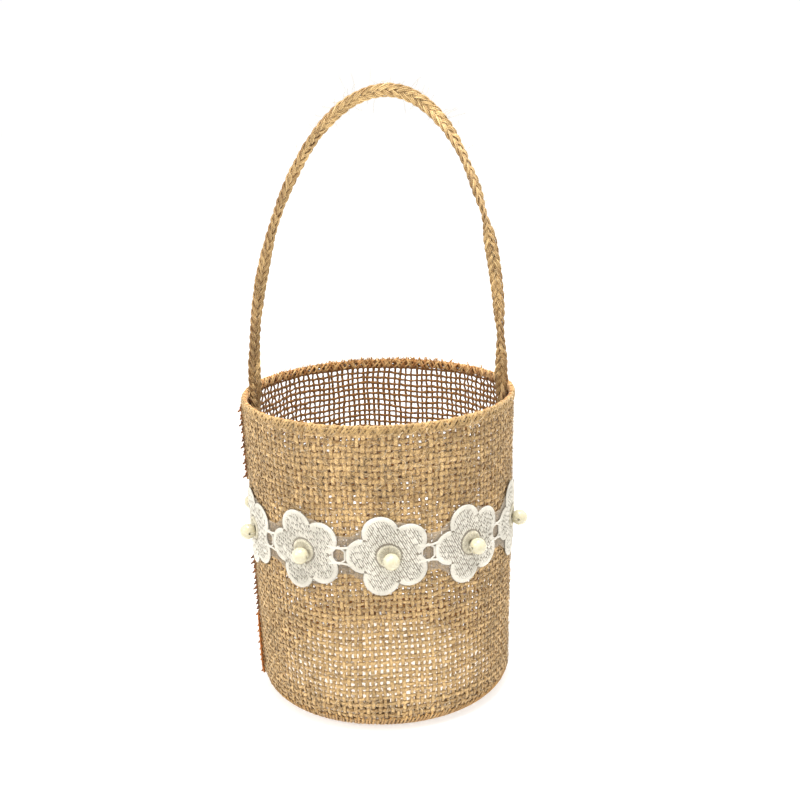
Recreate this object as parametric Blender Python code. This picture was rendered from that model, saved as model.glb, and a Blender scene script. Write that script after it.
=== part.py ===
"""A flower girl basket of open jute mesh with a braided hoop handle and a band of daisy lace.

Metres, +Z up. The origin is the middle of the underside, -Y is the front.
An azimuth is measured about +Z from the front, positive towards +X.
"""

import math

import bmesh
import bpy
from mathutils import Matrix, Vector

# Basket body
RIM_RADIUS = 0.0650
BASE_RADIUS = 0.0616
BODY_HEIGHT = 0.148
BASE_ROUNDING = 0.010
CLOTH = 0.0016
GAP = 0.0003
AROUND = 72

# Stitched edges
RIM_DEPTH = 0.0041
RIM_PROUD = 0.0004
RIM_SOFTNESS = 0.0008
BASE_CORD_RADIUS = 0.0012
BASE_CORD_RING = 0.0546

# Bottom
DISC_RADIUS = 0.0530
DISC_THICKNESS = 0.0015
CARD_RADIUS = 0.0525
CARD_THICKNESS = 0.0012

# Side seam
SEAM_AZIMUTH = math.radians(-86)
SEAM_DEPTH = 0.0014
SEAM_THICKNESS = 0.0016
SEAM_THREAD = 0.0008
SEAM_FOOT = 0.013
SEAM_LACE_SPACE = 0.020

# Handle
FOOT_AZIMUTH = math.radians(98)
BRAID_WIDTH = 0.0066
BRAID_THICKNESS = 0.0036
TAIL_RADIUS = 0.0606
TAIL_FOOT = 0.122
PIVOT_HEIGHT = 0.1505
ARCH_HEIGHT = 0.1365
ARCH_LEAN = 0.0075
ARCH_STEPS = 56
TACK_HEIGHT = 0.130
TACK = Vector((0.0006, 0.0074, 0.0030))

# Lace
LACE_HEIGHT = 0.088
LACE_HALF_HEIGHT = 0.016
NET = 0.00035
FLOWERS = 10
FIRST_FLOWER = math.radians(3.2)
PETALS = 5
PETAL_REACH = 0.0112
PETAL_RADIUS = 0.0080
EYELET_RADIUS = 0.0040
EMBROIDERY = 0.0007
LINK_OFFSET = 0.0176
LINK_OUTER = 0.0026
LINK_INNER = 0.0017

# Pearls
PEARL_RADIUS = 0.0038
PEARL_BORE = 0.0006
PEARL_ASIDE = 0.0008
PEARL_DROOP = 0.0012
PEARL_SEGMENTS = 16
THREAD_RADIUS = 0.00025
THREAD_BEND = 0.0006

COLOURS = {
    "jute": ((0.55, 0.37, 0.18), 0.9),
    "braid": ((0.60, 0.41, 0.19), 0.85),
    "stitching": ((0.72, 0.55, 0.30), 0.85),
    "seam_thread": ((0.42, 0.20, 0.07), 0.85),
    "card": ((0.88, 0.85, 0.81), 0.7),
    "net": ((0.78, 0.74, 0.68), 0.6),
    "embroidery": ((0.90, 0.87, 0.80), 0.75),
    "pearl": ((0.93, 0.90, 0.76), 0.2),
    "thread": ((0.85, 0.82, 0.74), 0.7),
}


def clear_scene():
    for obj in list(bpy.data.objects):
        bpy.data.objects.remove(obj, do_unlink=True)


def material(name):
    """A plain Principled material of one of the object's colours."""
    found = bpy.data.materials.get(name)
    if found:
        return found
    colour, roughness = COLOURS[name]
    made = bpy.data.materials.new(name)
    made.use_nodes = True
    shader = made.node_tree.nodes["Principled BSDF"]
    shader.inputs["Base Color"].default_value = (*colour, 1.0)
    shader.inputs["Roughness"].default_value = roughness
    shader.inputs["Metallic"].default_value = 0.0
    return made


def add_node(name, mesh_data, colour):
    """One named object holding a finished bmesh."""
    bmesh.ops.recalc_face_normals(mesh_data, faces=mesh_data.faces)
    mesh = bpy.data.meshes.new(name)
    mesh_data.to_mesh(mesh)
    mesh_data.free()
    mesh.shade_smooth()
    mesh.set_sharp_from_angle(angle=math.radians(40))
    mesh.materials.append(material(colour))
    obj = bpy.data.objects.new(name, mesh)
    bpy.context.scene.collection.objects.link(obj)
    return obj


def wall_radius(height):
    """Outer radius of the wall, which widens evenly from the base to the rim."""
    share = (height - BASE_ROUNDING) / (BODY_HEIGHT - BASE_ROUNDING)
    return BASE_RADIUS + (RIM_RADIUS - BASE_RADIUS) * share


def around_wall(azimuth, height, radius):
    """The point at this azimuth, height and distance from the basket's axis."""
    return Vector((radius * math.sin(azimuth), -radius * math.cos(azimuth), height))


def skin_loops(bm, loops, closed_along):
    """Joins equal closed loops of points into one surface, capped unless it closes on itself."""
    rows = [[bm.verts.new(point) for point in loop] for loop in loops]
    size = len(rows[0])
    pairs = len(rows) if closed_along else len(rows) - 1
    for i in range(pairs):
        one, two = rows[i], rows[(i + 1) % len(rows)]
        for j in range(size):
            k = (j + 1) % size
            bm.faces.new((one[j], one[k], two[k], two[j]))
    if not closed_along:
        bm.faces.new(rows[0])
        bm.faces.new(list(reversed(rows[-1])))


def turned(name, profile, colour, segments=AROUND):
    """A ring turned about +Z from a closed profile of (radius, height) points."""
    bm = bmesh.new()
    step = 2 * math.pi / segments
    loops = [[around_wall(i * step, z, r) for r, z in profile] for i in range(segments)]
    skin_loops(bm, loops, closed_along=True)
    return add_node(name, bm, colour)


def plate(name, radius, low, high, colour):
    """A flat round plate."""
    bm = bmesh.new()
    bmesh.ops.create_cone(
        bm,
        cap_ends=True,
        segments=AROUND,
        radius1=radius,
        radius2=radius,
        depth=high - low,
        matrix=Matrix.Translation((0, 0, (low + high) / 2)),
    )
    return add_node(name, bm, colour)


def arc(centre, radius, start, end, steps):
    """Points along an arc in the (radius, height) plane."""
    points = []
    for i in range(steps + 1):
        angle = start + (end - start) * i / steps
        points.append((centre[0] + radius * math.cos(angle), centre[1] + radius * math.sin(angle)))
    return points


def make_side_wall():
    """The wall's tube, rounded under at the foot to meet the bottom."""
    top = BODY_HEIGHT - RIM_DEPTH - GAP
    bend = (BASE_RADIUS - BASE_ROUNDING, BASE_ROUNDING)
    low, level = math.radians(-60), 0.0
    outer = arc(bend, BASE_ROUNDING, low, level, 5)
    inner = arc(bend, BASE_ROUNDING - CLOTH, level, low, 5)
    crown = [(wall_radius(top), top), (wall_radius(top) - CLOTH, top)]
    turned("side_wall", outer + crown + inner, "jute")


def make_rim():
    """The whipped edge round the mouth."""
    outside = RIM_RADIUS + RIM_PROUD
    inside = RIM_RADIUS - CLOTH - RIM_PROUD
    low, high = BODY_HEIGHT - RIM_DEPTH, BODY_HEIGHT
    soft = RIM_SOFTNESS
    profile = [
        (inside, low + soft),
        (inside + soft, low),
        (outside - soft, low),
        (outside, low + soft),
        (outside, high - soft),
        (outside - soft, high),
        (inside + soft, high),
        (inside, high - soft),
    ]
    turned("rim_overlock", profile, "stitching")


def make_bottom():
    """The bottom disc, the card that stiffens it and the cord of stitches round it."""
    cord = arc((BASE_CORD_RING, BASE_CORD_RADIUS), BASE_CORD_RADIUS, 0, 2 * math.pi, 8)[:-1]
    turned("base_overlock", cord, "stitching")
    plate("base_disc", DISC_RADIUS, 0, DISC_THICKNESS, "jute")
    card_low = DISC_THICKNESS + GAP
    plate("base_stiffener", CARD_RADIUS, card_low, card_low + CARD_THICKNESS, "card")


def wall_strip(name, near, far, thickness, low, high, colour):
    """A straight strip that stands out from the wall along the side seam."""
    bm = bmesh.new()
    loops = []
    sideways = Vector((math.cos(SEAM_AZIMUTH), math.sin(SEAM_AZIMUTH), 0)) * thickness / 2
    for height in (low, high):
        inner = around_wall(SEAM_AZIMUTH, height, wall_radius(height) + near)
        outer = around_wall(SEAM_AZIMUTH, height, wall_radius(height) + far)
        loops.append([inner - sideways, inner + sideways, outer + sideways, outer - sideways])
    skin_loops(bm, loops, closed_along=False)
    return add_node(name, bm, colour)


def make_side_seam():
    """The seam allowance that stands out from the wall, and the thread along its raw edge.

    The lace presses the allowance flat, so it stands out only below and above the lace.
    """
    edge = GAP + SEAM_DEPTH
    top = BODY_HEIGHT - RIM_DEPTH - 2 * GAP
    stretches = (
        ("lower", SEAM_FOOT, LACE_HEIGHT - SEAM_LACE_SPACE),
        ("upper", LACE_HEIGHT + SEAM_LACE_SPACE, top),
    )
    for name, low, high in stretches:
        wall_strip(f"side_seam_{name}", GAP, edge, SEAM_THICKNESS, low, high, "jute")
        thread_near = edge + GAP
        thread_far = thread_near + SEAM_THREAD
        wall_strip(
            f"side_seam_thread_{name}", thread_near, thread_far, SEAM_THICKNESS, low, high, "seam_thread"
        )


def oval(centre, across, through, sides=12):
    """A closed oval loop whose half axes are the two vectors."""
    loop = []
    for i in range(sides):
        angle = 2 * math.pi * i / sides
        loop.append(centre + across * math.cos(angle) + through * math.sin(angle))
    return loop


def handle_foot(side):
    """Middle of a foot of the hoop, on the hinge axis."""
    return around_wall(side * FOOT_AZIMUTH, PIVOT_HEIGHT, TAIL_RADIUS)


def make_handle():
    """The braid's hoop: a tall half ellipse whose crown leans towards +X.

    Its mesh is drawn from the hinge axis, where the object's origin is.
    """
    foot = handle_foot(1)
    half_thickness = Vector((0, BRAID_THICKNESS / 2, 0))
    bm = bmesh.new()
    loops = []
    for i in range(ARCH_STEPS + 1):
        t = math.pi * i / ARCH_STEPS
        rise = max(math.sin(t), 0.0)
        centre = Vector((-foot.x * math.cos(t) + ARCH_LEAN * rise**1.5, 0, ARCH_HEIGHT * rise))
        lean_slope = ARCH_LEAN * 1.5 * math.sqrt(rise) * math.cos(t)
        slope = Vector((foot.x * math.sin(t) + lean_slope, 0, ARCH_HEIGHT * math.cos(t)))
        across = slope.cross(Vector((0, 1, 0))).normalized() * BRAID_WIDTH / 2
        loops.append(oval(centre, across, half_thickness))
    skin_loops(bm, loops, closed_along=False)
    hoop = add_node("handle_braid", bm, "braid")
    hoop.location = (0, foot.y, PIVOT_HEIGHT)


def make_tail(name, side):
    """A flat end of the braid, sewn to the inside of the wall below a foot."""
    azimuth = side * FOOT_AZIMUTH
    outward = around_wall(azimuth, 0, 1)
    tangent = Vector((math.cos(azimuth), math.sin(azimuth), 0))
    top = PIVOT_HEIGHT - BRAID_THICKNESS / 2 - GAP
    loops = []
    for height in (TAIL_FOOT, top):
        centre = around_wall(azimuth, height, TAIL_RADIUS)
        loops.append(oval(centre, tangent * BRAID_WIDTH / 2, outward * BRAID_THICKNESS / 2))
    bm = bmesh.new()
    skin_loops(bm, loops, closed_along=False)
    add_node(f"handle_tail_{name}", bm, "braid")


def make_tack(name, side):
    """The bar of thread across a tail."""
    azimuth = side * FOOT_AZIMUTH
    radius = TAIL_RADIUS - BRAID_THICKNESS / 2 - GAP - TACK.x / 2
    turn = Matrix.Rotation(azimuth - math.pi / 2, 4, "Z")
    place = Matrix.Translation(around_wall(azimuth, TACK_HEIGHT, radius))
    bm = bmesh.new()
    bmesh.ops.create_cube(bm, size=1, matrix=place @ turn @ Matrix.Diagonal((*TACK, 1)))
    add_node(f"handle_tack_{name}", bm, "thread")


def make_net():
    """The sheer ground of the lace, a thin band round the wall."""
    low, high = LACE_HEIGHT - LACE_HALF_HEIGHT, LACE_HEIGHT + LACE_HALF_HEIGHT
    inner = [(wall_radius(z) + GAP, z) for z in (low, high)]
    outer = [(r + NET, z) for r, z in reversed(inner)]
    turned("lace_net", inner + outer, "net")


def lace_point(azimuth, along, up, lift):
    """A point on the lace: along and up its surface from an azimuth, lifted off the net."""
    height = LACE_HEIGHT + up
    radius = wall_radius(height) + GAP + NET + lift
    return around_wall(azimuth + along / wall_radius(LACE_HEIGHT), height, radius)


def petal_edge(angle):
    """Distance from a flower's middle to the edge of its nearest petal."""
    pitch = 2 * math.pi / PETALS
    off = (angle - math.pi + pitch / 2) % pitch - pitch / 2
    return PETAL_REACH * math.cos(off) + math.sqrt(PETAL_RADIUS**2 - (PETAL_REACH * math.sin(off)) ** 2)


def lace_ring(name, azimuth, outer_edge, inner_edge, points, bands):
    """A flat ring of embroidery bent round the wall, between two edges in polar form."""
    loops = []
    for i in range(points):
        angle = 2 * math.pi * i / points
        near, far = inner_edge(angle), outer_edge(angle)
        reach = [near + (far - near) * band / bands for band in range(bands + 1)]
        under = [(r, GAP) for r in reach]
        over = [(r, GAP + EMBROIDERY) for r in reversed(reach)]
        loop = []
        for r, lift in under + over:
            loop.append(lace_point(azimuth, r * math.cos(angle), r * math.sin(angle), lift))
        loops.append(loop)
    bm = bmesh.new()
    skin_loops(bm, loops, closed_along=True)
    add_node(name, bm, "embroidery")


def make_flower(number, azimuth):
    """A five-petal daisy with an eyelet in its middle."""
    lace_ring(f"lace_flower_{number:02d}", azimuth, petal_edge, lambda angle: EYELET_RADIUS, 40, 2)


def make_link(number, azimuth):
    """The hexagonal bridge between a daisy and the next one."""
    middle = azimuth + LINK_OFFSET / wall_radius(LACE_HEIGHT)
    lace_ring(f"lace_link_{number:02d}", middle, lambda angle: LINK_OUTER, lambda angle: LINK_INNER, 6, 1)


def pearl_frame(azimuth):
    """Places a pearl: its own +Z runs along its bore, level with the lace, and +X out of the wall."""
    aside = azimuth + PEARL_ASIDE / wall_radius(LACE_HEIGHT)
    net_face = wall_radius(LACE_HEIGHT) + GAP + NET
    middle = around_wall(aside, LACE_HEIGHT - PEARL_DROOP, net_face + GAP + PEARL_RADIUS)
    outward = around_wall(aside, 0, 1)
    along_bore = Vector((math.cos(aside), math.sin(aside), 0))
    turn = Matrix((outward, along_bore.cross(outward), along_bore)).transposed()
    return Matrix.Translation(middle) @ turn.to_4x4()


def thread_loop_points():
    """The thread's route in the pearl's frame: up beside it, through the bore and down again."""
    foot = GAP + EMBROIDERY + GAP + THREAD_RADIUS - (GAP + PEARL_RADIUS)
    side = PEARL_RADIUS + 2 * THREAD_RADIUS + THREAD_BEND / 4
    half = [(foot, -side), (-THREAD_BEND, -side), (0, THREAD_BEND - side)]
    return half + [(out, -along) for out, along in reversed(half)]


def tube_in_plane(bm, points, radius, sides=8):
    """A tube of one radius along (out, along) points in the frame's XZ plane."""
    route = [Vector((out, 0, along)) for out, along in points]
    loops = []
    for i, point in enumerate(route):
        before = (point - route[max(i - 1, 0)]).normalized()
        after = (route[min(i + 1, len(route) - 1)] - point).normalized()
        across = (before + after).normalized().cross(Vector((0, 1, 0)))
        loops.append(oval(point, across * radius, Vector((0, radius, 0)), sides))
    skin_loops(bm, loops, closed_along=False)


def make_pearl(number, azimuth):
    """A drilled pearl, and the loop of thread that holds it down on the lace."""
    frame = pearl_frame(azimuth)
    edge = math.pi / 2 - math.asin(PEARL_BORE / PEARL_RADIUS)
    profile = arc((0, 0), PEARL_RADIUS, -edge, edge, 9)
    step = 2 * math.pi / PEARL_SEGMENTS
    loops = [[around_wall(i * step, z, r) for r, z in profile] for i in range(PEARL_SEGMENTS)]
    bead = bmesh.new()
    skin_loops(bead, loops, closed_along=True)
    bead.transform(frame)
    add_node(f"pearl_{number:02d}", bead, "pearl")
    thread = bmesh.new()
    tube_in_plane(thread, thread_loop_points(), THREAD_RADIUS)
    thread.transform(frame)
    add_node(f"pearl_thread_{number:02d}", thread, "thread")


def make_lace():
    """The net and everything embroidered on it or sewn to it."""
    make_net()
    for index in range(FLOWERS):
        azimuth = FIRST_FLOWER + index * 2 * math.pi / FLOWERS
        make_flower(index + 1, azimuth)
        make_link(index + 1, azimuth)
        make_pearl(index + 1, azimuth)


clear_scene()
make_side_wall()
make_rim()
make_bottom()
make_side_seam()
make_handle()
for side_name, side_sign in (("left", -1), ("right", 1)):
    make_tail(side_name, side_sign)
    make_tack(side_name, side_sign)
make_lace()
bpy.context.view_layer.update()
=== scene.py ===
"""Looks of the flower girl basket: each yarn, stitch, strand and pearl is modelled in mesh code.

Metres, +Z up, -Y is the front. An azimuth is measured about +Z from the front, positive towards +X.
"""

import math

import bpy
import numpy as np
from mathutils import Matrix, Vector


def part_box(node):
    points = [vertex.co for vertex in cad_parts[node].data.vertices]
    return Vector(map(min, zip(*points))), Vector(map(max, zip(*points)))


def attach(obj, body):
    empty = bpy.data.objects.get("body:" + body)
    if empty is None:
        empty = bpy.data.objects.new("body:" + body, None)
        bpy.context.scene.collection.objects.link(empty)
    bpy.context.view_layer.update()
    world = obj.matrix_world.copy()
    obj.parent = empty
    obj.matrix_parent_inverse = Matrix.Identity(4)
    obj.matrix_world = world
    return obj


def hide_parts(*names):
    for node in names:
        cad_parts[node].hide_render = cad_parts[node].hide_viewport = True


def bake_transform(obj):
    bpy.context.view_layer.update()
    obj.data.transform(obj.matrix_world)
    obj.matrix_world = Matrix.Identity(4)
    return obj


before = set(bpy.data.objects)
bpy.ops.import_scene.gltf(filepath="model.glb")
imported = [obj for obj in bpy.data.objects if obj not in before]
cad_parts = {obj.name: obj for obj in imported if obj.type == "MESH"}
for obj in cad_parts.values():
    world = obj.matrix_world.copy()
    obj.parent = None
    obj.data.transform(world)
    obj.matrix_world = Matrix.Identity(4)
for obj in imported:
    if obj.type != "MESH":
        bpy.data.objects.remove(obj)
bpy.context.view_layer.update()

TAU = 2 * math.pi
rng = np.random.default_rng(11)

# Sizes of the CAD model, read from its boxes where a box gives them
RIM_LOW, RIM_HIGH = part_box("rim_overlock")[0][2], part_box("rim_overlock")[1][2]
RIM_PROUD = 0.0004
RIM_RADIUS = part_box("rim_overlock")[1][0] - RIM_PROUD
RIM_MIDDLE = (RIM_LOW + RIM_HIGH) / 2
BASE_RADIUS = 0.0616
BASE_ROUNDING = 0.010
CLOTH = 0.0016
RIM_CENTRE = RIM_RADIUS - CLOTH / 2
GAP = 0.0003
DISC_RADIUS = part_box("base_disc")[1][0]
DISC_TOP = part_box("base_disc")[1][2]
CORD_RING = 0.0546
NET_LOW, NET_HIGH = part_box("lace_net")[0][2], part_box("lace_net")[1][2]
LACE_HEIGHT = (NET_LOW + NET_HIGH) / 2
LACE_HALF = (NET_HIGH - NET_LOW) / 2
NET = 0.00035
NET_PITCH, NET_THREAD_RADIUS, NET_LIFT = 0.00055, 0.000078, 0.00004
FLOWERS = 10
FIRST_FLOWER = math.radians(3.2)
PETALS, PETAL_REACH, PETAL_RADIUS = 5, 0.0112, 0.0080
LINK_OFFSET = 0.0176
PEARL_RADIUS, PEARL_BORE = 0.0038, 0.0006
PEARL_ASIDE, PEARL_DROOP = 0.0008, 0.0012
THREAD_FINE = 0.00014
SEAM_AZIMUTH = math.radians(-86)
FOOT_AZIMUTH = math.radians(98)
TAIL_RADIUS = 0.0606
TAIL_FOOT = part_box("handle_tail_left")[0][2]
PIVOT_HEIGHT = 0.1505
ARCH_HEIGHT, ARCH_LEAN = 0.1365, 0.0075
STRANDS, PLIES, BRAID_PITCH = 5, 3, 0.0205
BRAID_WIDE, BRAID_DEEP = 0.00214, 0.00082
PLY_STEP, PLY_HALF_WIDTH, PLY_HALF_THICKNESS = 0.00074, 0.00039, 0.00044
HANDLE_SAMPLES, HANDLE_FIBRES = 760, 900

# Weave of the body
WARPS = 140
WEFT_PITCH = 0.00295
FIRST_WEFT = 0.0008
RIM_GROUPS = 74
SELVEDGE = 0.0012
PER_PITCH = 4
CRIMP = 0.00044
YARN_HALF_THICKNESS = 0.00040
BEND_START = math.radians(-75)
WALL_FIBRES, NAP_FIBRES, FRAYS, TUFTS = 6600, 7000, 900, 30

# The fibres' texture: how fast it runs along a yarn, and how far yarns of other tones are apart in it
FIBRE_PACE, TONE_STEP = 480, 97.0
# The UV map: a cell's empty margin, the part of its length for each cap, and a usual tube's girth
CELL_MARGIN, CAP_SHARE, TUBE_GIRTH = 0.06, 0.03, 0.004


# ---------------------------------------------------------------- threads


def unit(v):
    return v / np.maximum(np.linalg.norm(v, axis=-1, keepdims=True), 1e-12)


def put_in_scene(name, data):
    made = bpy.data.objects.new(name, data)
    bpy.context.scene.collection.objects.link(made)
    return made


class Threads:
    """Collects closed tubes, then makes one mesh of them.

    Each vertex keeps its yarn's tone, how far it faces out (the mask for painted shade on faces that look
    inwards), and a twisted coordinate for the fibres.
    """

    def __init__(self, sides=6, twist=1500.0, lumps=0.0, both_faces=False):
        self.sides, self.twist, self.lumps, self.both_faces = sides, twist, lumps, both_faces
        self.tubes = []

    def add(self, points, facing, half_width, half_thickness, tone=0.5, closed=False, out=None):
        """A tube along points whose broad face looks towards facing, closed on itself or capped.

        out says how far each point faces out of the basket, where the tube's own sides don't; the material
        paints shade where it faces in.
        With both_faces the two broad faces count as outside, and only the narrow sides as inside, so that
        shade is painted into the crevices between tubes.
        """
        points = np.asarray(points, float)
        if closed:
            tangent = np.roll(points, -1, axis=0) - np.roll(points, 1, axis=0)
        else:
            tangent = np.gradient(points, axis=0)
        tangent = unit(tangent)
        across = unit(np.cross(np.broadcast_to(facing, points.shape), tangent))
        through = np.cross(tangent, across)
        turn = np.arange(self.sides) / self.sides * TAU
        step = np.linalg.norm(np.diff(points, axis=0), axis=1)
        along = np.concatenate([[0], np.cumsum(step)])
        spin = turn[None] + along[:, None] * self.twist
        plump = (1 + self.lumps * np.cos(2 * spin))[..., None]
        wide = np.broadcast_to(half_width, len(points))[:, None, None] * np.cos(turn)[None, :, None]
        thick = np.broadcast_to(half_thickness, len(points))[:, None, None] * np.sin(turn)[None, :, None]
        rings = points[:, None] + (across[:, None] * wide + through[:, None] * thick) * plump
        pace = along[:, None] * FIBRE_PACE
        fibre = np.stack([np.cos(spin), np.sin(spin), np.broadcast_to(pace, spin.shape)], -1)
        tones = np.broadcast_to(np.asarray(tone, float).reshape(-1, 1), spin.shape)
        fibre[..., 2] += tones * TONE_STEP
        if self.both_faces:
            facing_out = np.abs(np.sin(turn))[None]
        elif out is None:
            facing_out = np.sin(turn)[None]
        else:
            facing_out = np.asarray(out, float).reshape(-1, 1)
        self.tubes.append((rings, along, closed, tones, np.broadcast_to(facing_out, spin.shape), fibre))

    def tube_places(self, along, i, j, closed):
        """Where a tube's faces lie in its cell of the UV map: the side unrolled, then the two caps."""
        sides, spans = self.sides, len(i)
        share = np.append(along, along[-1] + along[-1] / max(len(along) - 1, 1))[: spans + 1] / along[-1]
        share = CAP_SHARE + (1 - 2 * CAP_SHARE) * share / max(share[-1], 1)
        low, high = share[i], share[i + 1]
        corners = ((j, low), (j + 1, low), (j + 1, high), (j, high))
        uv = np.stack([np.stack([place / sides, level], -1) for place, level in corners], 2)
        cell = [uv.reshape(-1, 2)]
        if not closed:
            turn = np.arange(sides) / sides * TAU
            wheel = 0.5 + 0.4 * np.stack([np.cos(turn), np.sin(turn)], -1)
            cell.append(wheel[::-1] * (1, CAP_SHARE))
            cell.append(wheel * (1, CAP_SHARE) + (0, 1 - CAP_SHARE))
        return np.concatenate(cell)

    def faces(self):
        """Vertex indices of all loops, the size of each face, and each loop's place in UV space."""
        sides, count = self.sides, len(self.tubes)
        side = np.arange(sides)
        length = np.mean([tube[1][-1] for tube in self.tubes])
        rows = max(1, round(math.sqrt(count * TUBE_GIRTH / max(length, 0.002))))
        columns = math.ceil(count / rows)
        scale = np.array([1 / columns, 1 / rows])
        loops, sizes, places, base = [], [], [], 0
        for index, (rings, along, closed, *_) in enumerate(self.tubes):
            n = len(rings)
            spans = n if closed else n - 1
            i, j = np.meshgrid(np.arange(spans), side, indexing="ij")
            here, ahead, beside = i * sides, (i + 1) % n * sides, (j + 1) % sides
            quads = np.stack([here + j, here + beside, ahead + beside, ahead + j], -1)
            loops.append(base + quads.reshape(-1))
            sizes.append(np.full(spans * sides, 4))
            if not closed:
                loops.append(base + side[::-1])
                loops.append(base + (n - 1) * sides + side)
                sizes.append(np.array([sides, sides]))
            cell = CELL_MARGIN + (1 - 2 * CELL_MARGIN) * self.tube_places(along, i, j, closed)
            places.append((np.array([index % columns, index // columns], float) + cell) * scale)
            base += n * sides
        return np.concatenate(loops), np.concatenate(sizes), np.concatenate(places)

    def build(self, name, material):
        loops, sizes, places = self.faces()
        points = np.concatenate([tube[0].reshape(-1, 3) for tube in self.tubes])
        mesh = bpy.data.meshes.new(name)
        mesh.vertices.add(len(points))
        mesh.vertices.foreach_set("co", points.astype(np.float32).ravel())
        mesh.loops.add(len(loops))
        mesh.loops.foreach_set("vertex_index", loops.astype(np.int32))
        mesh.polygons.add(len(sizes))
        starts = np.concatenate([[0], np.cumsum(sizes)[:-1]])
        mesh.polygons.foreach_set("loop_start", starts.astype(np.int32))
        mesh.update(calc_edges=True)
        layer = mesh.uv_layers.new(name="OFBake")
        layer.data.foreach_set("uv", places.astype(np.float32).ravel())
        for attribute, kind, field, column in (
            ("tone", "FLOAT", "value", 3),
            ("out", "FLOAT", "value", 4),
            ("fibre", "FLOAT_VECTOR", "vector", 5),
        ):
            values = np.concatenate([np.ascontiguousarray(tube[column]).reshape(-1) for tube in self.tubes])
            made = mesh.attributes.new(attribute, kind, "POINT")
            made.data.foreach_set(field, values.astype(np.float32))
        mesh.shade_smooth()
        mesh.materials.append(material)
        return put_in_scene(name, mesh)


def wander(s, wavelength, size):
    """A smooth random curve along s, about this size, made of four sine waves."""
    total = np.zeros_like(s)
    for _ in range(4):
        pace = TAU / (wavelength * rng.uniform(0.6, 1.8))
        total = total + np.sin(s * pace + rng.uniform(0, TAU))
    return size * total / 2


def ring_wander(angle, waves, size):
    """As wander, but it meets itself after a full turn."""
    total = np.zeros_like(angle)
    for _ in range(5):
        total = total + np.sin(angle * rng.integers(2, waves) + rng.uniform(0, TAU))
    return size * total / 2


# ---------------------------------------------------------------- surfaces


def wall_radius(z):
    """Outer radius of the wall at a height."""
    share = (z - BASE_ROUNDING) / (RIM_HIGH - BASE_ROUNDING)
    return BASE_RADIUS + (RIM_RADIUS - BASE_RADIUS) * share


def foot_radius(z):
    """As wall_radius, but it also follows the rounded foot."""
    drop = np.clip(BASE_ROUNDING - z, 0, BASE_ROUNDING)
    rounded = BASE_RADIUS - BASE_ROUNDING + np.sqrt(BASE_ROUNDING**2 - drop**2)
    return np.where(z < BASE_ROUNDING, rounded, wall_radius(z))


def around(azimuth, radius, z):
    return np.stack([radius * np.sin(azimuth), -radius * np.cos(azimuth), z + 0 * azimuth], -1)


def outward(azimuth):
    return np.stack([np.sin(azimuth), -np.cos(azimuth), 0 * azimuth], -1)


BEND_RADIUS = BASE_ROUNDING - CLOTH / 2
BEND_LENGTH = -BEND_START * BEND_RADIUS
CLOTH_TOP = BEND_LENGTH + RIM_HIGH - SELVEDGE - BASE_ROUNDING


def cloth_point(azimuth, s, lift):
    """A point of the wall's cloth and its outward direction, s metres up from its lower edge."""
    azimuth, s, lift = np.broadcast_arrays(azimuth, s, lift)
    bend = np.minimum(BEND_START + s / BEND_RADIUS, 0.0)
    rise = np.maximum(s - BEND_LENGTH, 0.0)
    z_mid = BASE_ROUNDING + BEND_RADIUS * np.sin(bend) + rise
    straight = wall_radius(BASE_ROUNDING + rise) - CLOTH / 2
    curved = BASE_RADIUS - BASE_ROUNDING + BEND_RADIUS * np.cos(bend)
    r_mid = np.where(s > BEND_LENGTH, straight, curved)
    normal = outward(azimuth) * np.cos(bend)[..., None]
    normal[..., 2] += np.sin(bend)
    radius = r_mid + lift * np.cos(bend)
    return around(azimuth, radius, z_mid + lift * np.sin(bend)), normal


def lace_point(azimuth, along, up, lift):
    """A point on the lace: along and up its surface from an azimuth, lifted off the net."""
    z = LACE_HEIGHT + up
    radius = wall_radius(z) + GAP + NET + lift
    turn = azimuth + along / wall_radius(LACE_HEIGHT)
    return around(turn, radius, z), outward(turn)


# ---------------------------------------------------------------- materials


def principled(name):
    made = bpy.data.materials.new(name)
    made.use_nodes = True
    tree = made.node_tree
    shader = tree.nodes["Principled BSDF"]
    return made, tree, shader


def node(tree, kind, **settings):
    made = tree.nodes.new(kind)
    for key, value in settings.items():
        if key in made.inputs:
            made.inputs[key].default_value = value
        else:
            setattr(made, key, value)
    return made


def set_inputs(shader, **values):
    """Sets the shader's own sockets, each named with underscores for its spaces."""
    for name, value in values.items():
        shader.inputs[name.replace("_", " ")].default_value = value


def object_noise(tree, **settings):
    """Noise in the object's own space."""
    made = node(tree, "ShaderNodeTexNoise", **settings)
    place = node(tree, "ShaderNodeTexCoord")
    tree.links.new(place.outputs["Object"], made.inputs["Vector"])
    return made.outputs["Fac"]


def add_bump(tree, shader, height, strength, distance):
    bump = node(tree, "ShaderNodeBump", Strength=strength, Distance=distance)
    tree.links.new(height, bump.inputs["Height"])
    tree.links.new(bump.outputs["Normal"], shader.inputs["Normal"])


def ramp(tree, source, stops):
    made = tree.nodes.new("ShaderNodeValToRGB")
    elements = made.color_ramp.elements
    for index, (place, colour) in enumerate(stops):
        element = elements[index] if index < 2 else elements.new(place)
        element.position = place
        element.color = (*colour, 1)
    tree.links.new(source, made.inputs["Fac"])
    return made.outputs["Color"]


def mix(tree, factor, one, two, blend="MIX"):
    made = node(tree, "ShaderNodeMix", data_type="RGBA", blend_type=blend)
    for index, value in ((0, factor), (6, one), (7, two)):
        if isinstance(value, bpy.types.NodeSocket):
            tree.links.new(value, made.inputs[index])
        elif index == 0:
            made.inputs[index].default_value = value
        else:
            made.inputs[index].default_value = (*value, 1)
    return made.outputs[2]


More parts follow.
